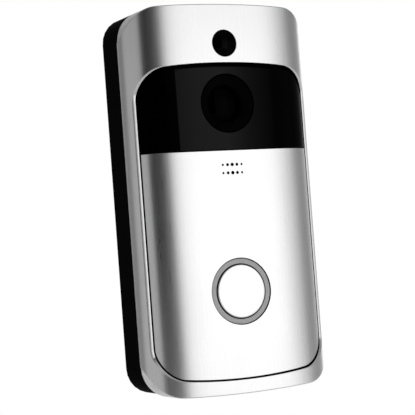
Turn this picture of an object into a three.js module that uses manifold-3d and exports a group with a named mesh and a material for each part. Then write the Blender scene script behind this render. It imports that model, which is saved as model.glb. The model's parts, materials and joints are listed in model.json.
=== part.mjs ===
// Battery video doorbell: a wall bracket and the doorbell that hangs on it.
// Millimetres, +Z up. The wall is the plane y = 0, the face looks towards -Y, and +X is a visitor's right.
import * as THREE from 'three';
import { mergeVertices } from 'three/addons/utils/BufferGeometryUtils.js';
import Module from 'manifold-3d';

const wasm = await Module();
wasm.setup();

// ---------------------------------------------------------------- driving dimensions

const FACE_Y = -28;                // middle of the silver face
const SEAM_Y = -15.2;              // where the silver frame meets the black housing
const SIDE_POWER = 4.6;            // the face is a superellipse in plan: fuller towards the sides
const FRONT_POWER = 2.6;           // and rounder over the front
const GAP = 0.3;                   // clearance between neighbouring pieces
const FRAME_WALL = 1.7;
const PANEL_INSET = 0.9;           // the panel and window lie this far below the frame's face
const PANEL_WALL = 1.5;
const PANEL_GAP = 0.4;             // round the edge of the panel and window
const LEDGE = { width: 2.2, wall: 1.2 };   // behind the panel's edge, where it is glued down

const FRAME = { halfWidth: 36, top: 69, bottom: -69, corner: 10.5, crownTop: 1.5, crownBottom: 1.5 };
const OPENING = { halfWidth: 34, top: 48.2, bottom: -64.1, corner: 10.5, crownTop: 2.5, crownBottom: 3 };
const HOUSING = { halfWidth: 35, top: 68.1, bottom: -67.5, corner: 9.5, crownTop: 0, crownBottom: 0 };
const TONGUE = { halfWidth: 32.8, top: 65, bottom: -65, corner: 7.5, crownTop: 0, crownBottom: 0 };
const RECESS = { halfWidth: 32.4, top: 65, bottom: -65, corner: 7, crownTop: 0, crownBottom: 0 };
const BRACKET = { halfWidth: 30, top: 62, bottom: -59.5, corner: 5, crownTop: 0, crownBottom: 0 };

const BRACKET_THICKNESS = 2.2;
const RIM_Y = -0.5;                // back rim of the housing, just clear of the wall
const BACK_Y = -2.5;               // outer face of the housing's back wall
const BACK_INNER_Y = -5;
const TONGUE_Y = -18;              // front end of the housing's tongue
const WINDOW_Z = 17;               // joint between the silver panel and the black window

const CELL = { radius: 9.2, x: 20, y: -13.8, bottom: -44, top: 21 };
const BAY = { radius: 9.5, wall: 0.9, bottom: -49, top: 22.5 };
const BUTTON_Z = -33.1;
const CAMERA_Z = 33.7;
const PIR_Z = 55;
const PIR_HOLE = 4.75;
const PORT_RADIUS = 10.4;          // the camera looks out through a round hole in the window
const HOOK = { x: 25.5, halfWidth: 3.5, bottom: 46, stem: 3, rise: 7.5, frontY: -7 };
const LUG = { halfWidth: 5, bottom: -58.5, top: -54.2, frontY: -7 };
const LOCK_SCREW = { y: -4.6, head: 2.8, shank: 1.5, underHead: -66.5 };
const CASE_SCREW = { x: 28.5, z: 60.5, hole: 1.4, counterbore: 3, thread: 1.15, boss: 3 };
const TERMINAL = { x: 6.5, z: 48.5, hole: 1.75, halfPlate: 4 };
const MICROPHONE_HOLES = { radii: [0.4, 0.53, 0.62, 0.53, 0.4], pitch: 1.87, rows: [11.85, 8.93] };
const RING = { outer: 11.6, inner: 9.8, footInner: 10.95, faceY: -26.75, backY: -22.7 };
const CAP = { radius: 9.4, flange: 10.6, faceY: -27.3 };
const PORT_Z = 36;                 // the charging socket and the reset button sit side by side
const PORT_X = 13;

// ---------------------------------------------------------------- looks

const LOOKS = {
  satinSilver: [0xb8b9bb, 0.32, 1.0],
  silverCap: [0xd8d8d9, 0.4, 0.6],
  blackPlastic: [0x121213, 0.6, 0.0],
  glossBlack: [0x050505, 0.08, 0.0],
  smokedLens: [0x0a0b10, 0.05, 0.1],
  lightGuide: [0xa8a9ac, 0.45, 0.0],
  rubber: [0x1b1b1c, 0.85, 0.0],
  steel: [0x9a9c9f, 0.35, 1.0],
  brass: [0xb08d4a, 0.35, 1.0],
  circuitBoard: [0x123c26, 0.55, 0.0],
  ceramicChip: [0x2a2b2e, 0.5, 0.0],
  clearEpoxy: [0x30303a, 0.15, 0.0],
  cellSleeve: [0x2f5f8f, 0.4, 0.0],
  copperFlex: [0x9a5b22, 0.5, 0.2],
};

const doorbell = new THREE.Group();

function addPiece(name, body, lookName) {
  const [color, roughness, metalness] = LOOKS[lookName];
  const material = new THREE.MeshStandardMaterial({ color, roughness, metalness });
  const mesh = new THREE.Mesh(toGeometry(body), material);
  mesh.name = name;
  doorbell.add(mesh);
}

// ---------------------------------------------------------------- solids

function toSolid(geometry) {
  geometry.deleteAttribute('normal');
  geometry.deleteAttribute('uv');
  const merged = mergeVertices(geometry, 1e-4);
  const corners = merged.index.array;
  const kept = [];
  for (let i = 0; i < corners.length; i += 3) {
    const [a, b, c] = corners.slice(i, i + 3);
    if (a !== b && b !== c && c !== a) kept.push(a, b, c);
  }
  const vertProperties = new Float32Array(merged.attributes.position.array);
  return new wasm.Manifold(new wasm.Mesh({ numProp: 3, vertProperties, triVerts: new Uint32Array(kept) }));
}

function toGeometry(body) {
  const mesh = body.getMesh();
  const geometry = new THREE.BufferGeometry();
  geometry.setAttribute('position', new THREE.BufferAttribute(new Float32Array(mesh.vertProperties), 3));
  geometry.setIndex(new THREE.BufferAttribute(new Uint32Array(mesh.triVerts), 1));
  geometry.computeVertexNormals();
  return geometry;
}

const union = (bodies) => bodies.reduce((sum, body) => sum.add(body));
const cut = (body, tools) => tools.reduce((rest, tool) => rest.subtract(tool), body);

// A block between two values on each axis, given in any order.
function block([xa, xb], [ya, yb], [za, zb]) {
  const size = [Math.abs(xb - xa), Math.abs(yb - ya), Math.abs(zb - za)];
  const geometry = new THREE.BoxGeometry(...size);
  return toSolid(geometry.translate((xa + xb) / 2, (ya + yb) / 2, (za + zb) / 2));
}

function rodY(radius, yBack, yFront, x = 0, z = 0, sides = 20) {
  const geometry = new THREE.CylinderGeometry(radius, radius, yBack - yFront, sides);
  return toSolid(geometry.translate(x, (yBack + yFront) / 2, z));
}

function rodZ(radius, zLow, zHigh, x, y, sides = 20) {
  const geometry = new THREE.CylinderGeometry(radius, radius, zHigh - zLow, sides).rotateX(Math.PI / 2);
  return toSolid(geometry.translate(x, y, (zLow + zHigh) / 2));
}

// A turned piece about an axis along Y. The profile lists [radius, y] and closes on itself or on the axis.
function turned(profile, x = 0, z = 0, sides = 32) {
  const points = profile.map(([radius, y]) => new THREE.Vector2(radius, y));
  if (THREE.ShapeUtils.isClockWise(points)) points.reverse();
  return toSolid(new THREE.LatheGeometry(points, sides).translate(x, 0, z));
}

// A ring with a rectangular section about an axis along Y.
function ringY(outer, inner, yBack, yFront, x = 0, z = 0, sides = 24) {
  return rodY(outer, yBack, yFront, x, z, sides).subtract(rodY(inner, yBack + 1, yFront - 1, x, z, sides));
}

function alongZ(shape, zLow, zHigh) {
  const geometry = new THREE.ExtrudeGeometry(shape, { depth: zHigh - zLow, bevelEnabled: false });
  return toSolid(geometry.translate(0, 0, zLow));
}

// A front-view shape, drawn in x and z, extruded along Y.
function alongY(shape, yBack, yFront) {
  const geometry = new THREE.ExtrudeGeometry(shape, { depth: yBack - yFront, bevelEnabled: false });
  return toSolid(geometry.rotateX(Math.PI / 2).translate(0, yBack, 0));
}

// A side-view shape, drawn in y and z, extruded along X.
function alongX(shape, xLow, xHigh) {
  const geometry = new THREE.ExtrudeGeometry(shape, { depth: xHigh - xLow, bevelEnabled: false });
  const turn = new THREE.Matrix4().makeBasis(
    new THREE.Vector3(0, 1, 0), new THREE.Vector3(0, 0, 1), new THREE.Vector3(1, 0, 0));
  return toSolid(geometry.applyMatrix4(turn).translate(xLow, 0, 0));
}

// ---------------------------------------------------------------- outlines

const grow = (outline, by) => ({
  ...outline,
  halfWidth: outline.halfWidth + by,
  top: outline.top + by,
  bottom: outline.bottom - by,
  corner: outline.corner + by,
});

// A rounded rectangle whose top and bottom edges are bowed outwards by their crowns.
function outlineShape(outline) {
  const cornerSteps = 6;
  const crowned = outline.crownTop > 0;
  const edgeSteps = crowned ? 4 : 1;
  const { halfWidth, corner } = outline;
  const straight = halfWidth - corner;
  const xs = [];
  for (let i = 1; i <= edgeSteps; i++) xs.push((straight * i) / edgeSteps);
  for (let i = 1; i <= cornerSteps; i++) {
    xs.push(straight + corner * Math.sin((Math.PI / 2) * (i / cornerSteps)));
  }
  const row = [...xs.map((x) => -x).reverse(), ...(crowned ? [0] : []), ...xs];
  const drop = (x, crown) => {
    const bend = Math.max(Math.abs(x) - straight, 0);
    const arc = corner - Math.sqrt(Math.max(corner ** 2 - bend ** 2, 0));
    return crown * (x / halfWidth) ** 2 + arc;
  };
  const upper = row.map((x) => new THREE.Vector2(x, outline.top - drop(x, outline.crownTop)));
  const lower = row.map((x) => new THREE.Vector2(x, outline.bottom + drop(x, outline.crownBottom)));
  return new THREE.Shape([...upper, ...lower.reverse()]);
}

const prism = (outline, yBack, yFront) => alongY(outlineShape(outline), yBack, yFront);

// Plan view of the face at a depth of inset below its outer surface, closed across the back at yBack.
function facePlan(inset, yBack) {
  const steps = 15;
  const bulge = SEAM_Y - FACE_Y;
  const points = [];
  for (let i = -steps; i <= steps; i++) {
    const t = (Math.PI / 2) * (i / steps);
    const across = Math.abs(Math.sin(t)) ** (2 / SIDE_POWER);
    const forward = Math.abs(Math.cos(t)) ** (2 / FRONT_POWER);
    const side = Math.sign(i);
    const normal = new THREE.Vector2(
      side * (SIDE_POWER / FRAME.halfWidth) * across ** (SIDE_POWER - 1),
      -(FRONT_POWER / bulge) * forward ** (FRONT_POWER - 1)).normalize();
    const surface = new THREE.Vector2(side * FRAME.halfWidth * across, SEAM_Y - bulge * forward);
    points.push(surface.addScaledVector(normal, -inset));
  }
  if (yBack > SEAM_Y) {
    points.unshift(new THREE.Vector2(points[0].x, yBack));
    points.push(new THREE.Vector2(points.at(-1).x, yBack));
  }
  return new THREE.Shape(points);
}

const BEYOND = 75;                 // past every end of the doorbell, for tools that cut right through
const faceBody = (inset, yBack = SEAM_Y) => alongZ(facePlan(inset, yBack), -BEYOND, BEYOND);
const faceLayer = (outer, inner) => faceBody(outer).subtract(faceBody(inner, 0));

// ---------------------------------------------------------------- fasteners

// A screw along Y with its head towards the wall and a cross cut in it.
function screwY({ x, z, headY, headRadius, headLength, shankRadius, tipY }) {
  const neckY = headY - headLength;
  const body = turned([[0, headY], [headRadius, headY], [headRadius, neckY], [shankRadius, neckY],
    [shankRadius, tipY + shankRadius], [0, tipY]], x, z, 20);
  const slotLength = headRadius * 0.65;
  const slotHalf = 0.4;
  const slotY = [headY + 1, headY - headLength * 0.55];
  return cut(body, [
    block([x - slotLength, x + slotLength], slotY, [z - slotHalf, z + slotHalf]),
    block([x - slotHalf, x + slotHalf], slotY, [z - slotLength, z + slotLength]),
  ]);
}

// ---------------------------------------------------------------- wall bracket and its lock screw

function wallBracket() {
  const plate = prism(BRACKET, 0, -BRACKET_THICKNESS);
  const wireWindow = block([-20.5, 20.5], [1, -5], [28, 58]);
  const hole = { x: 25, zs: [36, -50], radius: 2.2, headRadius: 4, frontY: -BRACKET_THICKNESS - 0.01 };
  const countersink = [[0, -1], [hole.radius, -1], [hole.headRadius, hole.frontY], [0, hole.frontY]];
  const holes = [];
  const hooks = [];
  for (const side of [-1, 1]) {
    for (const z of hole.zs) {
      holes.push(rodY(hole.radius, 1, -5, side * hole.x, z));
      holes.push(turned(countersink, side * hole.x, z, 24));
    }
    const width = [side * HOOK.x - HOOK.halfWidth, side * HOOK.x + HOOK.halfWidth];
    const headBackY = BACK_INNER_Y - GAP;
    hooks.push(block(width, [-1, HOOK.frontY], [HOOK.bottom, HOOK.bottom + HOOK.stem]));
    hooks.push(block(width, [headBackY, HOOK.frontY], [HOOK.bottom, HOOK.bottom + HOOK.rise]));
  }
  const lug = block([-LUG.halfWidth, LUG.halfWidth], [-1, LUG.frontY], [LUG.bottom, LUG.top]);
  const lockHole = rodZ(LOCK_SCREW.shank + 0.2, LUG.bottom - 1, LUG.top + 1, 0, LOCK_SCREW.y);
  return cut(union([plate, ...hooks, lug]), [wireWindow, lockHole, ...holes]);
}

function lockScrew() {
  const { y, head: headRadius, shank: shankRadius, underHead } = LOCK_SCREW;
  const headZ = underHead - 1.8;
  const head = rodZ(headRadius, headZ, underHead, 0, y);
  const shank = rodZ(shankRadius, underHead - 0.5, -55.8, 0, y);
  const hexSocket = rodZ(1.1, headZ - 1, headZ + 1, 0, y, 6);
  return head.add(shank).subtract(hexSocket);
}

// ---------------------------------------------------------------- rear housing and battery cover

const COVER = { halfWidth: 31, bottom: -50.5, top: 24, slide: 3, thickness: 1.3 };
const TERMINAL_FLOOR_Y = -6;
const TERMINAL_PAD_Y = -8;
const HOOK_POCKET = { halfWidth: 3.9, bottom: 40.5, mouthTop: 49.3, top: 54.5, frontY: -7.6 };
const SPEAKER_SLOTS = { count: 7, pitch: 3.6, halfWidth: 0.7, y: [-10.5, -14] };

// Pockets behind the back wall that take the bracket's hooks and lug, as [x, y, z] ranges.
function bracketPockets() {
  const { halfWidth, bottom, top, frontY } = HOOK_POCKET;
  const pockets = [-1, 1].map((side) => [
    [side * HOOK.x - halfWidth, side * HOOK.x + halfWidth], [BACK_INNER_Y, frontY], [bottom, top]]);
  pockets.push([[-5.6, 5.6], [BACK_Y + 1, -7.8], [-65.2, -53.9]]);
  return pockets;
}

function rearHousing() {
  const wall = 1;
  const outer = prism(HOUSING, RIM_Y, SEAM_Y + GAP).add(prism(TONGUE, SEAM_Y + 1, TONGUE_Y));
  const inside = prism(grow(TONGUE, -1.2), BACK_INNER_Y, TONGUE_Y - 1);
  const added = bracketPockets().map(([x, , z]) =>
    block([x[0] - wall, x[1] + wall], [-4, -8.8], [Math.max(z[0] - wall, -64.5), z[1] + wall]));
  added.push(block([-13, 13], [-4, TERMINAL_PAD_Y], [TERMINAL.z - 6, TERMINAL.z + 6]));
  const removed = bracketPockets().map((ranges) => block(...ranges));
  for (const side of [-1, 1]) {
    const mouth = [side * HOOK.x - HOOK_POCKET.halfWidth, side * HOOK.x + HOOK_POCKET.halfWidth];
    removed.push(block(mouth, [0, -6], [HOOK_POCKET.bottom, HOOK_POCKET.mouthTop]));
    removed.push(rodY(TERMINAL.hole, 0, -9, side * TERMINAL.x, TERMINAL.z));
    for (const z of [-CASE_SCREW.z, CASE_SCREW.z]) {
      const x = side * CASE_SCREW.x;
      added.push(rodY(CASE_SCREW.boss + 0.2, -4, TONGUE_Y, x, z));
      removed.push(rodY(CASE_SCREW.hole, 0, -20, x, z));
      removed.push(rodY(CASE_SCREW.counterbore, 0, -4.4, x, z));
    }
    added.push(rodY(2, -4, -9.7, side * 21, 60));
  }
  removed.push(prism(RECESS, 1, BACK_Y));
  removed.push(block([-11.5, 11.5], [0, TERMINAL_FLOOR_Y], [TERMINAL.z - 4.9, TERMINAL.z + 4.9]));
  removed.push(block([-29.8, 29.8], [0, -6], [BAY.bottom, BAY.top]));
  const rebateZ = [COVER.bottom - COVER.slide - GAP, COVER.top + GAP];
  removed.push(block([-31.3, 31.3], [0, BACK_Y - COVER.thickness - GAP], rebateZ));
  removed.push(block([-PORT_X - 6.5, -PORT_X + 6.5], [0, -3.7], [PORT_Z - 3.5, PORT_Z + 3.5]));
  removed.push(block([-PORT_X - 4.9, -PORT_X + 4.9], [0, -6], [PORT_Z - 2, PORT_Z + 2]));
  removed.push(rodY(3, 0, -6, PORT_X, PORT_Z));
  removed.push(rodZ(LOCK_SCREW.shank + 0.4, -70, -60, 0, LOCK_SCREW.y));
  removed.push(rodZ(LOCK_SCREW.head + 0.4, -70, LOCK_SCREW.underHead + GAP, 0, LOCK_SCREW.y));
  const { count, pitch, halfWidth, y: slotY } = SPEAKER_SLOTS;
  for (let i = 0; i < count; i++) {
    const x = pitch * (i - (count - 1) / 2);
    removed.push(block([x - halfWidth, x + halfWidth], slotY, [-70, -60]));
  }
  return cut(outer.subtract(inside).add(union(added)), removed);
}

function batteryCover() {
  const plate = block([-COVER.halfWidth, COVER.halfWidth], [BACK_Y, BACK_Y - COVER.thickness],
    [COVER.bottom, COVER.top]);
  const grooves = [0, 1, 2].map((i) => block([-8, 8], [0, BACK_Y - 0.5], [14 + 2.4 * i, 15.2 + 2.4 * i]));
  return cut(plate, grooves);
}

function caseSeal() {
  const ring = prism(grow(TONGUE, 1.1), -15.6, -17.4);
  return ring.subtract(prism(grow(TONGUE, 0.15), 0, -30));
}

// ---------------------------------------------------------------- front frame, panel and window

function frontFrame() {
  const outside = faceBody(0).intersect(prism(FRAME, 0, -40));
  const hollow = faceBody(FRAME_WALL, 0).intersect(prism(grow(FRAME, -FRAME_WALL), 1, -40));
  const seatInset = PANEL_INSET + PANEL_WALL + 0.35;
  const insideLedge = grow(OPENING, -LEDGE.width);
  const ledgeRing = prism(grow(OPENING, 1), TONGUE_Y - 0.5, -40).subtract(prism(insideLedge, 0, -41));
  const ledge = faceLayer(FRAME_WALL - 0.2, seatInset + LEDGE.wall).intersect(ledgeRing);
  const corners = [-1, 1].flatMap((side) => [-1, 1].map((end) => [side * CASE_SCREW.x, end * CASE_SCREW.z]));
  const bosses = corners.map(([x, z]) => rodY(CASE_SCREW.boss, TONGUE_Y - 0.4, -26, x, z));
  const screwHoles = corners.map(([x, z]) => rodY(CASE_SCREW.thread, -17, -22, x, z));
  const frame = outside.subtract(hollow).add(union([ledge, ...bosses]).intersect(outside));
  const seat = prism(OPENING, -18, -40).subtract(faceBody(seatInset, 1));
  const through = prism(insideLedge, -18, -40).subtract(union(bosses));
  return cut(frame, [seat, through, rodY(PIR_HOLE, -20, -40, 0, PIR_Z, 32), ...screwHoles]);
}

// The curved sheet that fills the frame's opening.
const openingSheet = () => faceLayer(PANEL_INSET, PANEL_INSET + PANEL_WALL)
  .intersect(prism(grow(OPENING, -PANEL_GAP), -19, -40));

function frontPanel() {
  const lower = block([-BEYOND, BEYOND], [0, -40], [-BEYOND, WINDOW_Z - 0.1]);
  const { radii, pitch, rows } = MICROPHONE_HOLES;
  const microphoneHoles = rows.flatMap((z) => radii.map((radius, i) =>
    rodY(radius, -20, -40, pitch * (i - 2), z, 8)));
  const buttonHole = rodY(RING.outer + 0.15, -20, -40, 0, BUTTON_Z, 40);
  return cut(openingSheet().intersect(lower), [buttonHole, ...microphoneHoles]);
}

function cameraWindow() {
  const upper = block([-BEYOND, BEYOND], [0, -40], [WINDOW_Z + 0.1, BEYOND]);
  return openingSheet().intersect(upper).subtract(rodY(PORT_RADIUS, -20, -40, 0, CAMERA_Z, 40));
}

// ---------------------------------------------------------------- batteries

function batteryTray() {
  const troughShape = (radius, xCentre, backY) => {
    const shape = new THREE.Shape();
    shape.moveTo(xCentre + radius, backY);
    shape.lineTo(xCentre + radius, CELL.y);
    shape.absarc(xCentre, CELL.y, radius, 0, -Math.PI, true);
    shape.lineTo(xCentre - radius, backY);
    return shape;
  };
  const { radius, wall, bottom, top } = BAY;
  const webY = BACK_INNER_Y - GAP;
  const bodies = [block([-11, 11], [webY, webY - 1], [bottom - wall, top + wall])];
  const hollows = [];
  for (const side of [-1, 1]) {
    bodies.push(alongZ(troughShape(radius + wall, side * CELL.x, webY), bottom - wall, top + wall));
    hollows.push(alongZ(troughShape(radius, side * CELL.x, 0), bottom, top));
    for (const z of [BUTTON_Z - 11, 2]) bodies.push(rodY(1.6, webY - 0.5, -19.3, side * 4, z, 16));
  }
  const lugRelief = block([-7, 7], [0, -9], [-60, -51.5]);
  return cut(union(bodies), [...hollows, lugRelief]);
}

function batteryCell(side) {
  const { radius, y, bottom, top } = CELL;
  const can = rodZ(radius, bottom, top - 1, side * CELL.x, y, 32);
  return can.add(rodZ(2.8, top - 1.5, top, side * CELL.x, y, 20));
}

const batteryContact = (side) => block([side * CELL.x - 5, side * CELL.x + 5], [CELL.y - 4, CELL.y + 4],
  [CELL.top + 0.3, CELL.top + 1]);

// A conical coil that presses on the flat end of a cell.
function batterySpring(side) {
  const turns = 3;
  const low = BAY.bottom + 0.7;
  const high = CELL.bottom - 0.8;
  class Coil extends THREE.Curve {
    getPoint(t, target = new THREE.Vector3()) {
      const angle = 2 * Math.PI * turns * t;
      const radius = THREE.MathUtils.lerp(5.5, 2.8, t);
      return target.set(side * CELL.x + radius * Math.cos(angle), CELL.y + radius * Math.sin(angle),
        THREE.MathUtils.lerp(low, high, t));
    }
  }
  const wire = new THREE.Shape().absarc(0, 0, 0.35, 0, 2 * Math.PI);
  return toSolid(new THREE.ExtrudeGeometry(wire, {
    extrudePath: new Coil(), steps: 30, curveSegments: 3, bevelEnabled: false }));
}

// ---------------------------------------------------------------- bell button

const FLANGE_Y = -25.4;             // front of the cap's flange, just behind the ring's lip

function buttonCap() {
  const { radius, flange, faceY } = CAP;
  const skirt = 8.2;
  const stem = 2;
  return turned([[0, faceY], [radius - 2.5, faceY + 0.06], [radius - 0.4, faceY + 0.2],
    [radius, faceY + 0.35], [radius, FLANGE_Y], [flange, FLANGE_Y], [flange, FLANGE_Y + 1],
    [skirt, FLANGE_Y + 1],
    [skirt, FLANGE_Y - 0.5], [stem, FLANGE_Y - 0.5], [stem, FLANGE_Y + 1.5], [0, FLANGE_Y + 1.5]],
  0, BUTTON_Z, 40);
}

function lightRing() {
  const { outer, inner, footInner, faceY, backY } = RING;
  const ledgeY = FLANGE_Y - GAP;
  return turned([[inner, faceY], [outer, faceY], [outer, backY], [footInner, backY],
    [footInner, ledgeY], [inner, ledgeY], [inner, faceY]], 0, BUTTON_Z, 40);
}

const FRONT_BOARD = { backY: -19.6, frontY: -20.6 };

function switchBody() {
  const body = block([-3, 3], [FRONT_BOARD.frontY - 0.1, -22.6], [BUTTON_Z - 3, BUTTON_Z + 3]);
  return body.subtract(rodY(1.9, -21.2, -25, 0, BUTTON_Z, 20));
}

// ---------------------------------------------------------------- camera and sensors

const SENSOR_BOARD = { backY: -18.2, frontY: -19.2 };
const LED_PLACES = {
  ir_led_left_top: [-15.3, 42], ir_led_left_middle: [-15.3, 35.2], ir_led_left_bottom: [-15.3, 28.5],
  ir_led_right_top: [14.9, 41.5], ir_led_right_middle: [14.9, 34.3], ir_led_right_bottom: [14.9, 28.1],
};

function lensHolder() {
  const base = block([-9.5, 9.5], [-13.7, -17.6], [CAMERA_Z - 9.5, CAMERA_Z + 9.5]);
  return base.add(rodY(8.4, -17, -20.5, 0, CAMERA_Z)).subtract(rodY(6.9, -13, -21, 0, CAMERA_Z));
}

const lensGlass = () => turned([[0, -22.7], [6.2, -22.7], [6.2, -23.1], [5, -23.5], [3.4, -23.85],
  [1.7, -24.05], [0, -24.1]], 0, CAMERA_Z, 24);

// A black funnel that fills the hole in the window and narrows down to the lens.
function lensHood() {
  const mouth = { radius: PORT_RADIUS - GAP, y: FACE_Y + PANEL_INSET + 0.2 };
  const flange = { radius: 11.6, frontY: -25.3, backY: -24.3 };
  const throat = { inner: 6.9, outer: 9.8, frontY: -24.9, backY: -21 };
  return turned([[mouth.radius, mouth.y], [mouth.radius, flange.frontY], [flange.radius, flange.frontY],
    [flange.radius, flange.backY], [throat.outer, flange.backY], [throat.outer, throat.backY],
    [throat.inner, throat.backY], [throat.inner, throat.frontY], [mouth.radius - 0.6, mouth.y],
    [mouth.radius, mouth.y]], 0, CAMERA_Z, 40);
}

function pirLens() {
  const rim = PIR_HOLE - 0.25;
  const flange = { radius: 5.8, frontY: -26, backY: -25.2 };
  const outside = [[rim, -27.5], [rim - 0.4, -27.95], [rim - 1.4, -28.4], [rim - 2.9, -28.75], [0, -28.9]];
  const inside = [[0, -28], [2, -27.7], [3.4, -27], [3.7, flange.backY]];
  return turned([...inside, [flange.radius, flange.backY], [flange.radius, flange.frontY],
    [rim, flange.frontY], ...outside], 0, PIR_Z, 24);
}

const irLed = ([x, z]) => turned([[0, -19.4], [1.8, -19.4], [1.8, -21.4], [1.4, -22.2], [0.8, -22.6],
  [0, -22.75]], x, z, 16);

function sensorBoard() {
  const board = block([-24, 24], [SENSOR_BOARD.backY, SENSOR_BOARD.frontY], [24.5, 61.5]);
  const notches = [-1, 1].map((side) => block([side * 20, side * 26], [0, -30], [55, 70]));
  return cut(board, [rodY(10.4, -10, -30, 0, CAMERA_Z, 28), ...notches]);
}

// ---------------------------------------------------------------- electronics at the back

const MAIN_BOARD = { backY: -10, frontY: -11.2 };

function usbSocket() {
  const shell = block([-PORT_X - 4.6, -PORT_X + 4.6], [-3.9, MAIN_BOARD.backY + 0.1],
    [PORT_Z - 1.7, PORT_Z + 1.7]);
  const mouth = block([-PORT_X - 4.3, -PORT_X + 4.3], [0, -8.5], [PORT_Z - 1.35, PORT_Z + 1.35]);
  const tongue = block([-PORT_X - 3.3, -PORT_X + 3.3], [-5.8, -9], [PORT_Z - 0.35, PORT_Z + 0.35]);
  return shell.subtract(mouth).add(tongue);
}

function usbPlug() {
  const lid = block([-PORT_X - 6.2, -PORT_X + 6.2], [BACK_Y - 0.1, -3.4], [PORT_Z - 3.2, PORT_Z + 3.2]);
  const stub = block([-PORT_X - 4, -PORT_X + 4], [-3, -5.5], [PORT_Z - 1.1, PORT_Z + 1.1]);
  const pullTab = block([-PORT_X - 2, -PORT_X + 2], [-3, BACK_Y + 0.15], [PORT_Z + 1.4, PORT_Z + 3.2]);
  return union([lid, stub, pullTab]);
}

const resetButton = () => turned([[0, BACK_Y - 0.2], [2.6, BACK_Y - 0.2], [2.6, -5.3], [3.6, -5.3],
  [3.6, -6.3], [1.2, -6.3], [1.2, -7.1], [0, -7.1]], PORT_X, PORT_Z, 24);

function speaker() {
  const halfLength = 15;
  const halfDepth = 4.4;
  const shape = new THREE.Shape();
  shape.absarc(halfLength - halfDepth, -14, halfDepth, -Math.PI / 2, Math.PI / 2, false);
  shape.absarc(-halfLength + halfDepth, -14, halfDepth, Math.PI / 2, (3 * Math.PI) / 2, false);
  return alongZ(shape, -63.4, -57);
}

// The flat ribbon that joins the front board to the sensor board.
function boardFlex() {
  const half = 0.15;
  const path = [[-19.35, 13], [-19.35, 17], [-17.9, 21], [-17.9, 25.1]];
  const sides = [half, -half].map((offset) => path.map(([y, z]) => new THREE.Vector2(y + offset, z)));
  return alongX(new THREE.Shape([...sides[0], ...sides[1].reverse()]), -3, 3);
}

// ---------------------------------------------------------------- assembly

addPiece('wall_bracket', wallBracket(), 'blackPlastic');
addPiece('lock_screw', lockScrew(), 'steel');

addPiece('rear_housing', rearHousing(), 'blackPlastic');
addPiece('battery_cover', batteryCover(), 'blackPlastic');
addPiece('case_seal', caseSeal(), 'rubber');
for (const [end, endSign] of [['top', 1], ['bottom', -1]]) {
  for (const [side, sideSign] of [['left', -1], ['right', 1]]) {
    const screw = screwY({ x: sideSign * CASE_SCREW.x, z: endSign * CASE_SCREW.z, headY: -2.8,
      headRadius: 2.5, headLength: 1.3, shankRadius: 1, tipY: -21 });
    addPiece(`case_screw_${end}_${side}`, screw, 'steel');
  }
}

addPiece('front_frame', frontFrame(), 'satinSilver');
addPiece('front_panel', frontPanel(), 'satinSilver');
addPiece('camera_window', cameraWindow(), 'glossBlack');

addPiece('battery_tray', batteryTray(), 'blackPlastic');
for (const [side, sign] of [['left', -1], ['right', 1]]) {
  addPiece(`battery_cell_${side}`, batteryCell(sign), 'cellSleeve');
  addPiece(`battery_contact_${side}`, batteryContact(sign), 'steel');
  addPiece(`battery_spring_${side}`, batterySpring(sign), 'steel');
}

addPiece('button_cap', buttonCap(), 'silverCap');
addPiece('light_ring', lightRing(), 'lightGuide');
addPiece('button_seal', ringY(10.6, 8.4, -22.8, -23.6, 0, BUTTON_Z), 'rubber');
addPiece('front_board', block([-10, 10], [FRONT_BOARD.backY, FRONT_BOARD.frontY], [-48, 15]), 'circuitBoard');
addPiece('button_switch', switchBody(), 'blackPlastic');
addPiece('switch_plunger', rodY(1.6, -22, -23.6, 0, BUTTON_Z, 20), 'blackPlastic');
for (const [index, [right, up]] of [[-1, 1], [1, 1], [-1, -1], [1, -1]].entries()) {
  const x = 8 * right;
  const z = BUTTON_Z + 8 * up;
  const led = block([x - 0.8, x + 0.8], [-20.7, -21.5], [z - 0.8, z + 0.8]);
  addPiece(`ring_led_${index + 1}`, led, 'clearEpoxy');
}
addPiece('microphone', block([-2, 2], [-20.7, -21.9], [8.9, 11.9]), 'steel');
addPiece('microphone_boot', ringY(5.6, 4.8, -20.9, -25.2, 0, 10.4, 24), 'rubber');
addPiece('board_flex', boardFlex(), 'copperFlex');

addPiece('pir_lens', pirLens(), 'glossBlack');
addPiece('pir_sensor', rodY(3.6, -19.4, -24, 0, PIR_Z), 'steel');
addPiece('lens_hood', lensHood(), 'blackPlastic');
addPiece('lens_glass', lensGlass(), 'smokedLens');
addPiece('lens_barrel', ringY(6.6, 5.2, -15.2, -22.5, 0, CAMERA_Z), 'blackPlastic');
addPiece('lens_holder', lensHolder(), 'blackPlastic');
addPiece('image_sensor', block([-3.5, 3.5], [-13.5, -14.6], [CAMERA_Z - 3.5, CAMERA_Z + 3.5]), 'ceramicChip');
addPiece('camera_board', block([-12, 12], [-12.2, -13.4], [CAMERA_Z - 9, CAMERA_Z + 12]), 'circuitBoard');
addPiece('sensor_board', sensorBoard(), 'circuitBoard');
for (const [name, place] of Object.entries(LED_PLACES)) addPiece(name, irLed(place), 'clearEpoxy');
addPiece('light_sensor', block([-21.3, -19.3], [-19.4, -20.6], [34, 36]), 'clearEpoxy');

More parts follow.
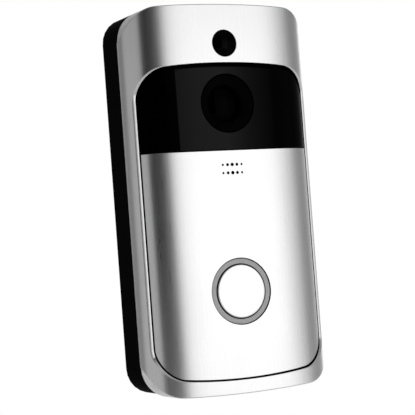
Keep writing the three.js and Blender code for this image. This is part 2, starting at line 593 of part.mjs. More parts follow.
addPiece('main_board', block([-23, 23], [MAIN_BOARD.backY, MAIN_BOARD.frontY], [26, 62.5]), 'circuitBoard');
addPiece('usb_socket', usbSocket(), 'steel');
addPiece('usb_plug', usbPlug(), 'rubber');
addPiece('reset_button', resetButton(), 'blackPlastic');
const resetSwitch = block([PORT_X - 2.2, PORT_X + 2.2], [-7.7, -9.9], [PORT_Z - 2.2, PORT_Z + 2.2]);
addPiece('reset_switch', resetSwitch, 'blackPlastic');
for (const [side, sign] of [['left', -1], ['right', 1]]) {
  const x = sign * TERMINAL.x;
  const { z, hole, halfPlate } = TERMINAL;
  const plate = block([x - halfPlate, x + halfPlate], [-5, -5.7], [z - halfPlate, z + halfPlate]);
  addPiece(`terminal_plate_${side}`, plate.subtract(rodY(hole, 0, -9, x, z)), 'brass');
  const screw = screwY({ x, z, headY: -2.9, headRadius: 3, headLength: 1.8, shankRadius: 1.5, tipY: -8.6 });
  addPiece(`terminal_screw_${side}`, screw, 'brass');
}
addPiece('speaker', speaker(), 'blackPlastic');
addPiece('wifi_antenna', block([-14, 14], [-16.3, -16.7], [47.5, 53.5]), 'copperFlex');

export default doorbell;
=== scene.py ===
"""Video doorbell: the looks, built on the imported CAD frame. Metres, +Z up, the face looks towards -Y."""

import json
import math

import bmesh
import bpy
import numpy as np
from mathutils import Matrix, Vector
from mathutils.geometry import delaunay_2d_cdt


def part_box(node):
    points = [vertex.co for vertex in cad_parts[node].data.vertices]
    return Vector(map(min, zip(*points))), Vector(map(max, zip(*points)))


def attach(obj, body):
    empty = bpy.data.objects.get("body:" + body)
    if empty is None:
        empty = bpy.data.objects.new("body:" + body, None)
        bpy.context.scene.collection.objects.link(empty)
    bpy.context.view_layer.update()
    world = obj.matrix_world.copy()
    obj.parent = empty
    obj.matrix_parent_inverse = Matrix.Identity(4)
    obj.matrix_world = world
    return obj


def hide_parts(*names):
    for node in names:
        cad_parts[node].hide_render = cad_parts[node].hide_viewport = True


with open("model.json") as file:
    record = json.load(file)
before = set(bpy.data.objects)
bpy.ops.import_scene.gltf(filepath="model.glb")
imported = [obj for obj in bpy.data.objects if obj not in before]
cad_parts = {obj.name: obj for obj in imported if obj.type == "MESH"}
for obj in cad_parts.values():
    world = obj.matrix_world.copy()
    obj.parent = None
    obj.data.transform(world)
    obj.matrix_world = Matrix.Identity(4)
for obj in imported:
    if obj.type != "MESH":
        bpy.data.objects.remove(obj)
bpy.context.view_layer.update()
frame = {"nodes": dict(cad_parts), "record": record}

MM = 0.001
NODE_BODY = {node: body for body, nodes in frame["record"]["behaviour"]["bodies"].items() for node in nodes}
NODE_SLOT = {part["node"]: part["material_slot"] for part in frame["record"]["subparts"]}


def centre_of(node):
    low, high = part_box(node)
    return (low + high) / 2


# ---------------------------------------------------------------- camera, set first

VIEW_YAW = math.radians(26.88)       # from the visitor's left
VIEW_TILT = math.radians(-1.68)      # from slightly below
VIEW_ROLL = math.radians(-4.27)      # the doorbell's top leans to the left
VIEW_DISTANCE = 520.2 * MM
VIEW_PIVOT = Vector((0, -14 * MM, 0))
VIEW_OFFSET = Vector((3.94 * MM, 0, 2.38 * MM))
SENSOR_WIDTH = 36.0
LENS = 124.6


def make_camera():
    to_world = Matrix.Rotation(-VIEW_YAW, 3, "Z") @ Matrix.Rotation(-VIEW_TILT, 3, "X")
    across, along, upward = (to_world @ Vector(axis) for axis in ((1, 0, 0), (0, 1, 0), (0, 0, 1)))
    right = math.cos(VIEW_ROLL) * across + math.sin(VIEW_ROLL) * upward
    up = math.cos(VIEW_ROLL) * upward - math.sin(VIEW_ROLL) * across
    place = VIEW_PIVOT + to_world @ (Vector((0, -VIEW_DISTANCE, 0)) - VIEW_OFFSET)
    camera = bpy.data.objects.new("camera", bpy.data.cameras.new("camera"))
    camera.data.sensor_width = SENSOR_WIDTH
    camera.data.lens = LENS
    camera.data.clip_start = 0.01
    camera.matrix_world = Matrix.Translation(place) @ Matrix((right, up, -along)).transposed().to_4x4()
    bpy.context.scene.collection.objects.link(camera)
    bpy.context.scene.camera = camera


# ---------------------------------------------------------------- studio

# Cards round the light tent, going from the back round the visitor's right, the front and the left: where
# each ends, in degrees from straight in front of the face, and how bright it is at its start and its end.
CARDS = [
    ("backdrop", -112, 1.05, 1.05), ("right_edge", -88, 0.45, 0.38), ("right_card", -58, 0.27, 0.27),
    ("fill", -36, 0.4, 0.95), ("key", -7.5, 1.62, 1.18), ("dark_flag", 39, 0.0, 0.0),
    ("left_card", 122, 0.42, 0.42), ("left_edge", 162, 0.26, 0.14), ("backdrop", 180, 1.05, 1.05),
]
CARD_BLEND = 1.5                     # degrees over which one card gives way to the next
DIM_FROM = 0.25                      # the cards dim with height, from here
DIM_TO = 0.65                        # to here, in metres
DIM_SHARE = 0.35                     # and keep this share of their light
CEILING_LIGHT = 0.35
FLOOR_GLOW = 0.18
TENT_RADIUS = 1.4
TENT_TOP = 1.3
TENT_SIDES = 96
FLOOR_Z = -0.35
FLOOR_LIFT = 1 * MM                  # the floor lies this far above the tent wall's lower edge
FLOOR_RADIUS = 0.9 * TENT_RADIUS


def new_object(name, mesh):
    obj = bpy.data.objects.new(name, mesh)
    bpy.context.scene.collection.objects.link(obj)
    return obj


def disc(name, radius, z):
    mesh = bpy.data.meshes.new(name)
    turns = [2 * math.pi * i / TENT_SIDES for i in range(TENT_SIDES)]
    verts = [(radius * math.cos(a), radius * math.sin(a), z) for a in turns]
    mesh.from_pydata(verts, [], [list(range(TENT_SIDES))])
    return new_object(name, mesh)


def tent_wall():
    sides = TENT_SIDES
    mesh = bpy.data.meshes.new("tent_wall")
    verts = []
    for z in (FLOOR_Z, TENT_TOP):
        for i in range(sides):
            turn = 2 * math.pi * i / sides
            verts.append((TENT_RADIUS * math.cos(turn), TENT_RADIUS * math.sin(turn), z))
    faces = [(i, (i + 1) % sides, sides + (i + 1) % sides, sides + i) for i in range(sides)]
    mesh.from_pydata(verts, [], faces)
    return new_object("tent_wall", mesh)


def tent_material():
    """Light that changes with the direction from the doorbell, card by card, and dims with height."""
    made = Nodes("tent_light")
    place = made.add("ShaderNodeSeparateXYZ", Vector=made.add("ShaderNodeTexCoord").outputs["Object"])
    toward_face = made.maths("MULTIPLY", place.outputs["Y"], -1)
    toward_left = made.maths("MULTIPLY", place.outputs["X"], -1)
    turn = made.maths("ARCTAN2", toward_left, toward_face)
    share = made.maths("MULTIPLY_ADD", turn, 0.5 / math.pi, 0.5)
    stops = []
    start = -180
    for _, end, first_light, last_light in CARDS:
        for angle, light in ((start + CARD_BLEND / 2, first_light), (end - CARD_BLEND / 2, last_light)):
            stops.append(((angle + 180) / 360, (light, light, light)))
        start = end
    dimming = made.add("ShaderNodeMapRange", Value=place.outputs["Z"], From_Min=DIM_FROM, From_Max=DIM_TO,
                       To_Min=1.0, To_Max=DIM_SHARE).outputs["Result"]
    glow = made.add("ShaderNodeEmission", Color=made.ramp(share, stops), Strength=dimming)
    made.finish(glow.outputs["Emission"])
    return made.material


def ceiling_light():
    made = Nodes("ceiling_light")
    glow = made.add("ShaderNodeEmission", Color=(1, 1, 1, 1), Strength=CEILING_LIGHT)
    made.finish(glow.outputs["Emission"])
    return made.material


def floor_paint():
    made = Nodes("floor_paint")
    paper = made.noise(0.02)
    colour = made.tint(paper, grey(0.84), grey(0.88))
    made.principled(colour, made.between(paper, 0.75, 0.85), Emission_Color=(1, 1, 1, 1),
                    Emission_Strength=FLOOR_GLOW)
    return made.material


def make_world():
    world = bpy.data.worlds.new("white_studio")
    world.use_nodes = True
    background = world.node_tree.nodes["Background"]
    background.inputs["Color"].default_value = (1, 1, 1, 1)
    background.inputs["Strength"].default_value = 1.0
    bpy.context.scene.world = world
    bpy.context.scene.view_settings.view_transform = "Standard"


def make_studio():
    """White surroundings, with a light tent that only the doorbell's surfaces see, and a pale floor."""
    make_world()
    wall = tent_wall()
    wall.data.materials.append(tent_material())
    ceiling = disc("tent_ceiling", TENT_RADIUS, TENT_TOP)
    ceiling.data.materials.append(ceiling_light())
    for obj in (wall, ceiling):
        obj.visible_camera = False
    floor = disc("floor", FLOOR_RADIUS, FLOOR_Z + FLOOR_LIFT)
    floor.data.materials.append(floor_paint())


# ---------------------------------------------------------------- material tools

def grey(value):
    return (value, value, value)


class Nodes:
    """A material under construction: thin helpers over its node tree."""

    def __init__(self, name):
        self.material = bpy.data.materials.new(name)
        self.material.use_nodes = True
        self.tree = self.material.node_tree
        self.tree.nodes.clear()
        self.shader = None

    def add(self, kind, **inputs):
        node = self.tree.nodes.new(kind)
        for name, value in inputs.items():
            self.plug(node, name.replace("_", " "), value)
        return node

    def plug(self, node, socket, value):
        if isinstance(value, bpy.types.NodeSocket):
            self.tree.links.new(value, node.inputs[socket])
        else:
            node.inputs[socket].default_value = value

    def maths(self, operation, *values):
        node = self.tree.nodes.new("ShaderNodeMath")
        node.operation = operation
        for i, value in enumerate(values):
            self.plug(node, i, value)
        return node.outputs[0]

    def ramp(self, value, stops):
        node = self.add("ShaderNodeValToRGB", Fac=value)
        band = node.color_ramp
        while len(band.elements) < len(stops):
            band.elements.new(0.5)
        for element, (at, colour) in zip(band.elements, stops):
            element.position = at
            element.color = (*colour, 1)
        return node.outputs["Color"]

    def coordinates(self, stretch=(1, 1, 1)):
        place = self.add("ShaderNodeTexCoord").outputs["Object"]
        return self.add("ShaderNodeMapping", Vector=place, Scale=stretch).outputs["Vector"]

    def noise(self, size, stretch=(1, 1, 1), detail=3.0):
        """Noise from 0 to 1 whose blobs are about size metres across."""
        place = self.coordinates(stretch)
        return self.add("ShaderNodeTexNoise", Vector=place, Scale=1 / size, Detail=detail).outputs["Fac"]

    def between(self, value, low, high):
        return self.add("ShaderNodeMapRange", Value=value, To_Min=low, To_Max=high).outputs["Result"]

    def tint(self, share, first, second):
        return self.ramp(share, [(0.3, first), (0.7, second)])

    def bump(self, height, strength, distance):
        node = self.add("ShaderNodeBump", Height=height, Strength=strength, Distance=distance)
        return node.outputs["Normal"]

    def principled(self, base, roughness, normal=None, metallic=0.0, **fixed):
        shader = self.add("ShaderNodeBsdfPrincipled")
        self.shader = shader
        self.plug(shader, "Base Color", (*base, 1) if isinstance(base, tuple) else base)
        self.plug(shader, "Roughness", roughness)
        shader.inputs["Metallic"].default_value = metallic
        if normal is not None:
            self.plug(shader, "Normal", normal)
        for name, value in fixed.items():
            shader.inputs[name.replace("_", " ")].default_value = value
        self.finish(shader.outputs["BSDF"])

    def finish(self, shader):
        out = self.tree.nodes.new("ShaderNodeOutputMaterial")
        self.tree.links.new(shader, out.inputs["Surface"])


# ---------------------------------------------------------------- materials

ACROSS_GRAIN = (1, 1, 0.012)         # stretches noise into long upright streaks


def silver_face():
    made = Nodes("silver_face")
    streaks = made.noise(0.00022, ACROSS_GRAIN, 4)
    patches = made.noise(0.02)
    colour = made.tint(streaks, (0.80, 0.80, 0.805), grey(0.86))
    worn = made.maths("ADD", made.between(streaks, 0.255, 0.315), made.between(patches, -0.015, 0.015))
    made.principled(colour, worn, made.bump(streaks, 0.12, 0.00002), metallic=1.0)
    return made.material


def silver_button():
    made = Nodes("silver_button")
    flakes = made.noise(0.00015, detail=2)
    colour = made.tint(flakes, grey(0.84), (0.88, 0.88, 0.885))
    made.principled(colour, made.between(flakes, 0.24, 0.34), made.bump(flakes, 0.04, 0.00002),
                    metallic=1.0)
    return made.material


def textured_plastic(name, dark, light, rough, grain=0.0003, depth=0.25, specular=0.2):
    """Moulded plastic: fine pebbles, and broad patches where hands have made it smoother."""
    made = Nodes(name)
    pebbles = made.noise(grain, detail=2)
    handling = made.noise(0.012)
    colour = made.tint(handling, dark, light)
    roughness = made.maths("ADD", made.between(pebbles, rough - 0.06, rough + 0.06),
                           made.between(handling, -0.04, 0.04))
    made.principled(colour, roughness, made.bump(pebbles, depth, 0.00004),
                    Specular_IOR_Level=specular)
    return made.material


# Painted shade: a near-black, almost unreflecting copy of the black plastic, so faces wearing it show no
# shading; faces towards the wall keep the plain satin black.
def housing_black():
    return textured_plastic("housing_black", grey(0.0003), grey(0.0008), 0.5, specular=0.003)


def satin_black():
    return textured_plastic("satin_black", (0.016, 0.016, 0.017), (0.024, 0.024, 0.025), 0.42,
                            grain=0.0005, depth=0.3, specular=0.4)


# Painted shade: this near-black is also the second material of the silver pieces, on the walls and backs of
# their gaps and holes, where shade falls.
def inner_black():
    return textured_plastic("inner_black", grey(0.0015), grey(0.003), 0.6, specular=0.01)


def rubber_black():
    return textured_plastic("rubber_black", grey(0.012), grey(0.02), 0.75, grain=0.0006)


def polished(name, base, haze, specular):
    """Glossy black with faint smears. Returns the Nodes, for the maker to finish."""
    made = Nodes(name)
    smears = made.noise(0.009)
    colour = made.tint(smears, base, tuple(1.5 * c for c in base))
    made.principled(colour, made.between(smears, haze * 0.7, haze * 1.3),
                    made.bump(made.noise(0.015), 0.02, 0.0001), Specular_IOR_Level=specular)
    return made


# Painted reflection: the share of its reflection the window gives back, by mm across from its middle:
# bright with a sharp edge on the visitor's left, fading out to the right.
PAINTED_REFLECTION = [(-19.92, 0.03), (-19.56, 0.75), (-12, 0.95), (-1.2, 1), (8.4, 0.4), (15.6, 0.12), (19.2, 0)]
PAINTED_REFLECTION_REACH = 30 * MM


def window_black():
    made = polished("window_black", grey(0.0003), 0.04, 0.1)
    across = made.add("ShaderNodeSeparateXYZ", Vector=made.coordinates()).outputs["X"]
    span = made.add("ShaderNodeMapRange", Value=across, From_Min=-PAINTED_REFLECTION_REACH, From_Max=PAINTED_REFLECTION_REACH)
    stops = [((x * MM / PAINTED_REFLECTION_REACH + 1) / 2, grey(light)) for x, light in PAINTED_REFLECTION]
    # the painted reflection drives the window's specular tint
    made.plug(made.shader, "Specular Tint", made.ramp(span.outputs["Result"], stops))
    return made.material


def pir_black():
    return polished("pir_black", (0.0005, 0.0005, 0.0006), 0.08, 0.03).material


def lens_glass():
    return polished("lens_glass", (0.0003, 0.0003, 0.0006), 0.03, 0.012).material


def smoked_epoxy():
    return polished("smoked_epoxy", (0.01, 0.01, 0.014), 0.1, 0.4).material


def light_guide():
    made = Nodes("light_guide")
    cloud = made.noise(0.0006, detail=4)
    colour = made.tint(cloud, grey(0.76), grey(0.82))
    made.principled(colour, made.between(cloud, 0.4, 0.55), made.bump(cloud, 0.08, 0.00003),
                    Specular_IOR_Level=0.2)
    return made.material


def bare_metal(name, dark, light, rough):
    made = Nodes(name)
    scuffs = made.noise(0.0009, (1, 1, 0.3), 5)
    colour = made.tint(scuffs, dark, light)
    made.principled(colour, made.between(scuffs, rough - 0.1, rough + 0.1),
                    made.bump(scuffs, 0.12, 0.00003), metallic=1.0)
    return made.material


def steel():
    return bare_metal("steel", (0.42, 0.42, 0.43), (0.56, 0.56, 0.57), 0.32)


def brass():
    return bare_metal("brass", (0.55, 0.38, 0.15), (0.72, 0.53, 0.25), 0.32)


def circuit_board():
    made = Nodes("circuit_board")
    bricks = made.add("ShaderNodeTexBrick", Vector=made.coordinates(), Scale=320.0,
                      Color1=(0, 0, 0, 1), Color2=(0.15, 0.15, 0.15, 1), Mortar=(1, 1, 1, 1))
    tracks = bricks.outputs["Color"]
    colour = made.ramp(tracks, [(0.2, (0.005, 0.05, 0.02)), (0.8, (0.015, 0.12, 0.05))])
    dull = made.between(made.noise(0.002), 0.35, 0.5)
    made.principled(colour, dull, made.bump(tracks, 0.2, 0.00003))
    return made.material


def chip():
    return textured_plastic("chip", (0.015, 0.015, 0.016), (0.025, 0.025, 0.026), 0.5, grain=0.0002)


def cell_sleeve():
    made = Nodes("cell_sleeve")
    ripple = made.noise(0.004, (1, 1, 0.3))
    colour = made.tint(ripple, (0.03, 0.12, 0.3), (0.05, 0.17, 0.38))
    made.principled(colour, made.between(ripple, 0.25, 0.4), made.bump(ripple, 0.1, 0.0001))
    return made.material


def flex_film():
    made = Nodes("flex_film")
    lanes = made.noise(0.0008, (1, 0.1, 0.1))
    colour = made.tint(lanes, (0.3, 0.12, 0.02), (0.5, 0.24, 0.05))
    made.principled(colour, made.between(lanes, 0.3, 0.5), made.bump(lanes, 0.1, 0.00002))
    return made.material


MATERIAL_MAKERS = [
    silver_face, silver_button, housing_black, satin_black, inner_black, window_black, lens_glass,
    pir_black, light_guide, rubber_black, steel, brass, circuit_board, chip, smoked_epoxy, cell_sleeve,
    flex_film,
]
MATERIALS = {}


def dress(obj, slot, second="inner_black"):
    """Gives obj its slot's material, and a second one to the faces marked for it: by default the near-black
    of painted shade.
    """
    marked = [polygon.material_index for polygon in obj.data.polygons]
    obj.data.materials.clear()
    obj.data.materials.append(MATERIALS[slot])
    if any(marked):
        obj.data.materials.append(MATERIALS[second])
        obj.data.polygons.foreach_set("material_index", marked)
    return obj


def stand_for(obj, *nodes, second="inner_black"):
    """obj takes the look, the body and the place of these CAD nodes."""
    slot = NODE_SLOT[nodes[0]]
    dress(obj, slot, second)
    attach(obj, NODE_BODY[nodes[0]])
    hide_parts(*nodes)
    return obj


# ---------------------------------------------------------------- the bowed face

CREASE = math.radians(32)            # an edge sharper than this stays sharp in every smooth mesh
SIDE_POWER = 4.6
FRONT_POWER = 2.6
FRAME_WALL = 1.7 * MM
PANEL_WALL = 1.5 * MM
PANEL_GAP = 0.4 * MM
VISIBLE_GAP = 0.55 * MM              # as much of that gap as shows, with the panel's edge rounded over
EDGE_STEP = 0.6 * MM                 # spacing of the points along every outline
FILL_STEP = 1.3 * MM                 # spacing of the points over the surface
FILL_MARGIN = 0.45 * FILL_STEP       # how far those keep off the outlines
CURVE_SAMPLES = 6001                 # points along the bowed curve
OUTLINE_SAMPLES = 4001               # and across the top or the bottom of an outline
ON_SURFACE = 0.01 * MM               # nearer than this to the bowed surface counts as on it
FACES_OUT = 0.94                     # cosine with its normal from which a face counts as part of it
NOT_BOWED = -1                       # as the surface's depth in metres: no point is near it
WELD = 1e-6                          # points nearer than this in metres become one
SLIVER = 1e-7                        # and edges shorter than this are dissolved
WHOLE_HULL = 0                       # as the kind of triangulation: fill the hull, with every edge kept
SAME_POINT = 1e-6                    # in mm, how close two points of a triangulation may lie
HOLE_EDGE_SHARE = 0.3                # rounding of a sheet's holes, as a share of its outer rounding


class BowedFace:
    """The face's outer surface: a superellipse in plan, the same at every height.

    A place on it is (s, z): s is the distance along the curve from the middle, z the height.
    """

    def __init__(self, half_width, seam_y, face_y):
        bulge = seam_y - face_y
        turn = np.linspace(-np.pi / 2, np.pi / 2, CURVE_SAMPLES)
        across = np.abs(np.sin(turn)) ** (2 / SIDE_POWER)
        forward = np.abs(np.cos(turn)) ** (2 / FRONT_POWER)
        self.x = np.sign(turn) * half_width * across
        self.y = seam_y - bulge * forward
        normal_x = np.sign(turn) * SIDE_POWER / half_width * across ** (SIDE_POWER - 1)
        normal_y = -FRONT_POWER / bulge * forward ** (FRONT_POWER - 1)
        length = np.hypot(normal_x, normal_y)
        self.normal_x = normal_x / length
        self.normal_y = normal_y / length
        run = np.concatenate([[0], np.cumsum(np.hypot(np.diff(self.x), np.diff(self.y)))])
        self.s = run - run[-1] / 2

    def reach(self, x):
        return float(np.interp(x, self.x, self.s))

    def x_at(self, s):
        return np.interp(s, self.s, self.x)

    def normals(self, s):
        normal = np.stack([np.interp(s, self.s, self.normal_x), np.interp(s, self.s, self.normal_y)], 1)
        normal /= np.linalg.norm(normal, axis=1)[:, None]
        return np.column_stack([normal, np.zeros(len(normal))])

    def points(self, places, depth):
        """Points below the places by a depth, or by one depth for each place."""
        s, z = places[:, 0], places[:, 1]
        normal = self.normals(s)
        x = np.interp(s, self.s, self.x) - depth * normal[:, 0]
        y = np.interp(s, self.s, self.y) - depth * normal[:, 1]
        return np.column_stack([x, y, z])


frame_low, frame_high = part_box("front_frame")
face = BowedFace(frame_high.x, frame_high.y, frame_low.y)
panel_low, panel_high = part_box("front_panel")
window_low, window_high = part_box("camera_window")
PANEL_INSET = panel_low.y - frame_low.y

# Outlines in front view: half width, top, bottom, corner radius, and the bow of the top and bottom edges.
FRAME_OUTLINE = (frame_high.x, frame_high.z, frame_low.z, 10.5 * MM, 1.5 * MM, 1.5 * MM)
OPENING_OUTLINE = (panel_high.x + PANEL_GAP, window_high.z + PANEL_GAP, panel_low.z - PANEL_GAP,
                   10.5 * MM, 2.5 * MM, 3 * MM)


def resampled(loop, step):
    """The closed loop again, with points evenly spaced about step apart."""
    closed = np.vstack([loop, loop[:1]])
    run = np.concatenate([[0], np.cumsum(np.linalg.norm(np.diff(closed, axis=0), axis=1))])
    count = max(int(round(run[-1] / step)), 8)
    at = np.linspace(0, run[-1], count, endpoint=False)
    return np.column_stack([np.interp(at, run, closed[:, i]) for i in (0, 1)])


def outline_loop(outline, step=EDGE_STEP):
    """An outline as a closed, clockwise loop of places on the face."""
    half_width, top, bottom, corner, crown_top, crown_bottom = outline
    reach = face.reach(half_width)
    s = np.linspace(-reach, reach, OUTLINE_SAMPLES)
    x = face.x_at(s)
    bend = np.clip(np.abs(x) - (half_width - corner), 0, corner)
    drop = corner - np.sqrt(corner**2 - bend**2)
    bow = (x / half_width) ** 2
    upper = np.column_stack([s, top - crown_top * bow - drop])
    lower = np.column_stack([s, bottom + crown_bottom * bow + drop])
    return resampled(np.vstack([upper, lower[::-1]]), step)


def circle_loop(centre, radius, step=EDGE_STEP):
    sides = max(int(2 * math.pi * radius / step), 20)
    turn = np.linspace(0, -2 * np.pi, sides, endpoint=False)
    s = np.array([face.reach(x) for x in centre[0] + radius * np.cos(turn)])
    return np.column_stack([s, centre[1] + radius * np.sin(turn)])


def outward(loop):
    """The way out of a clockwise loop at each point, lengthened at corners to keep an offset even."""
    ahead = np.roll(loop, -1, axis=0) - loop
    ahead /= np.linalg.norm(ahead, axis=1)[:, None]
    out_after = np.column_stack([-ahead[:, 1], ahead[:, 0]])
    out_before = np.roll(out_after, 1, axis=0)
    return (out_before + out_after) / (1 + np.sum(out_before * out_after, axis=1))[:, None]


def offset(loop, by):
    """The clockwise loop moved outwards by a distance, or by one distance for each point."""
    return loop + np.reshape(by, (-1, 1)) * outward(loop)


def inside(places, loop):
    """Which places lie inside the loop, by counting crossings."""
    ends = np.roll(loop, -1, axis=0)
    hits = np.zeros(len(places), int)
    for (s0, z0), (s1, z1) in zip(loop, ends):
        crosses = (z0 > places[:, 1]) != (z1 > places[:, 1])
        if crosses.any():
            at = s0 + (places[:, 1] - z0) * (s1 - s0) / (z1 - z0 if z1 != z0 else 1)
            hits += crosses & (places[:, 0] < at)
    return hits % 2 == 1


def filled(loops):
    """Triangles over the first loop less the others. Returns places and triangles."""
    low, high = loops[0].min(0), loops[0].max(0)
    grid = np.array([(s, z) for s in np.arange(low[0], high[0], FILL_STEP)
                     for z in np.arange(low[1], high[1], FILL_STEP)])
    keep = inside(grid, offset(loops[0], -FILL_MARGIN))
    for hole in loops[1:]:
        keep &= ~inside(grid, offset(hole, FILL_MARGIN))
    places = np.vstack([*loops, grid[keep]])
    edges = []
    start = 0
    for loop in loops:
        count = len(loop)
        edges += [(start + i, start + (i + 1) % count) for i in range(count)]
        start += count
    scale = 1 / MM
    flat, _, triangles, *_ = delaunay_2d_cdt([Vector(p * scale) for p in places], edges, [],
                                             WHOLE_HULL, SAME_POINT)
    places = np.array([(p.x, p.y) for p in flat]) / scale
    triangles = np.array([t for t in triangles if len(t) == 3])
    middles = places[triangles].mean(1)
    keep = inside(middles, loops[0])
    for hole in loops[1:]:
        keep &= ~inside(middles, hole)
    return places, triangles[keep]


# The dark bands below are painted shade: the near-black second material on walls and backs of gaps and
# holes.
NO_PAINTED_SHADE = 99                         # as the first dark band: more bands than any piece has


class Shell:
    """A closed sheet under construction: points and faces, welded at the end."""

    def __init__(self):
        self.points = []
        self.faces = []
        self.dark = []
        self.count = 0

    def add(self, points, faces, dark=False):
        self.points.append(points)
        self.faces += [tuple(self.count + i for i in f) for f in faces]
        self.dark += [dark] * len(faces)
        self.count += len(points)

    def region(self, loops, depth, dark=False):
        places, triangles = filled(loops)
        self.add(face.points(places, depth), triangles.tolist(), dark)

    def rings(self, rings, painted_shade_from=NO_PAINTED_SHADE):
        """Bands between neighbouring rings; those from a given band on get the near-black second material,
        painted shade.
        """
        for band, (first, second) in enumerate(zip(rings, rings[1:])):
            n = len(first)
            quads = [(i, (i + 1) % n, n + (i + 1) % n, n + i) for i in range(n)]
            self.add(np.vstack([first, second]), quads, band >= painted_shade_from)

    def build(self, name, surface_depth):
        mesh = bpy.data.meshes.new(name)
        work = bmesh.new()
        for p in np.vstack(self.points):
            work.verts.new(p)
        work.verts.ensure_lookup_table()
        for f, dark in zip(self.faces, self.dark):
            made = work.faces.new([work.verts[i] for i in f])
            # faces marked dark take the near-black of painted shade
            made.material_index = int(dark)
        bmesh.ops.remove_doubles(work, verts=work.verts, dist=WELD)
        bmesh.ops.dissolve_degenerate(work, edges=work.edges, dist=SLIVER)
        bmesh.ops.recalc_face_normals(work, faces=work.faces)
        work.to_mesh(mesh)
        work.free()
        mesh.shade_smooth()
        mesh.set_sharp_from_angle(angle=CREASE)
        set_exact_normals(mesh, surface_depth)
        return new_object(name, mesh)


def set_exact_normals(mesh, depth):
    """Gives every corner that lies on the bowed surface that surface's true normal."""
    where = np.array([v.co for v in mesh.vertices])
    surface = face.points(np.column_stack([face.s, np.zeros(len(face.s))]), depth)[:, :2]
    at_s = np.interp(where[:, 0], surface[:, 0], face.s)
    true = face.normals(at_s)
    near = np.abs(where[:, 1] - np.interp(at_s, face.s, surface[:, 1])) < ON_SURFACE
    corner_normals = np.zeros((len(mesh.loops), 3))
    for polygon in mesh.polygons:
        flat = np.array(polygon.normal)
        for loop in polygon.loop_indices:
            vertex = mesh.loops[loop].vertex_index
            if near[vertex] and flat @ true[vertex] > FACES_OUT:
                corner_normals[loop] = true[vertex]
    mesh.normals_split_custom_set([tuple(n) for n in corner_normals])


def rounded(radius, steps=4):
    """Offsets and depths of a rounded edge, from the surface round to the wall."""
    turns = [math.pi / 2 * i / steps for i in range(steps + 1)]
    return [(-radius * (1 - math.sin(a)), radius * (1 - math.cos(a))) for a in turns]


def rim(loop, path, inset=0.0, hole=False):
    """Rings that follow a path of (offset out of the sheet, depth) round one of its edges."""
    sign = -1 if hole else 1
    return [face.points(offset(loop, sign * out), inset + depth) for out, depth in path]


def sheet(name, outer, holes, inset, wall, edge):
    """A sheet that follows the face at a depth of inset, with rounded edges, and painted shade on its back
    and on the walls of its edges and holes.
    """
    shell = Shell()
    path = [*rounded(edge), (0, wall)]
    tight = [*rounded(edge * HOLE_EDGE_SHARE, 2), (0, wall)]
    front = [offset(outer, path[0][0])]
    front += [offset(hole, -tight[0][0]) for hole in holes]
    shell.region(front, inset)
    shell.region([outer, *holes], inset + wall, dark=True)
    shell.rings(rim(outer, path, inset), painted_shade_from=len(path) - 3)
    for hole in holes:
        shell.rings(rim(hole, tight, inset, hole=True), painted_shade_from=1)
    return shell.build(name, inset)


# ---------------------------------------------------------------- silver frame, panel and window

LIP = 0.95 * MM                      # the polished chamfer round the opening
LIP_DEPTH = 0.75 * MM
LIP_FOOT = 0.08 * MM                 # the opening's straight wall starts this far below the deepest lip
LIP_LEAST = 0.04                     # its share of that width along the opening's top and bottom
LIP_POWER = 1.0                      # how soon it narrows round the corners
DOME_HOLE = 4.75 * MM
DOME_EDGE = 0.2 * MM
DOME_GAP = 0.25 * MM
DOME_RISE = 1.3 * MM
HOLE_STEP = 0.4 * MM                 # spacing of the points round the dome's and the button's holes
FRAME_EDGE = 0.35 * MM
LEDGE_WIDTH = 2.2 * MM               # the ledge inside the opening, which holds the panel and the window
LEDGE_WALL = 1.2 * MM
LEDGE_ROOT = 1 * MM                  # how far outside the opening it joins the frame


def frame_end_rings(loop):
    """From the rounded front edge back along the end walls to the seam, and in by the wall's thickness."""
    front = rim(loop, rounded(FRAME_EDGE))
    seam = front[-1].copy()
    seam[:, 1] = face.y.max()
    inner = face.points(offset(loop, -FRAME_WALL), FRAME_WALL)
    seam_inner = inner.copy()
    seam_inner[:, 1] = face.y.max()
    return [*front, seam, seam_inner, inner]


def build_frame():
    outer = outline_loop(FRAME_OUTLINE)
    opening = outline_loop(OPENING_OUTLINE)
    dome = centre_of("pir_lens")
    dome_hole = circle_loop((dome.x, dome.z), DOME_HOLE, HOLE_STEP)
    ledge_depth = PANEL_INSET + PANEL_WALL + PANEL_GAP
    ledge_back = ledge_depth + LEDGE_WALL
    lip_share = LIP_LEAST + (1 - LIP_LEAST) * np.abs(outward(opening)[:, 0]) ** LIP_POWER
    lip_slope = [face.points(offset(opening, LIP * lip_share * across), LIP_DEPTH * lip_share * down)
                 for across, down in ((1, 0), (0.05, 1))]
    ledge_path = [(0, LIP_DEPTH + LIP_FOOT), (0, ledge_depth), (LEDGE_WIDTH, ledge_depth),
                  (LEDGE_WIDTH, ledge_back), (-LEDGE_ROOT, ledge_back), (-LEDGE_ROOT, FRAME_WALL)]
    dome_path = [*rounded(DOME_EDGE, 3), (0, FRAME_WALL)]
    front = [offset(outer, -FRAME_EDGE), offset(opening, LIP * lip_share), offset(dome_hole, DOME_EDGE)]
    back = [offset(outer, -FRAME_WALL), offset(opening, LEDGE_ROOT), dome_hole]
    shell = Shell()
    shell.region(front, 0)
    # Painted shade: the frame's back, the inside of its end walls, and the walls of the opening and the
    # dome's hole take the near-black.
    shell.region(back, FRAME_WALL, dark=True)
    shell.rings(frame_end_rings(outer), painted_shade_from=5)
    shell.rings([*lip_slope, *rim(opening, ledge_path, hole=True)], painted_shade_from=1)
    shell.rings(rim(dome_hole, dome_path, hole=True), painted_shade_from=2)
    stand_for(shell.build("silver_frame", 0), "front_frame")


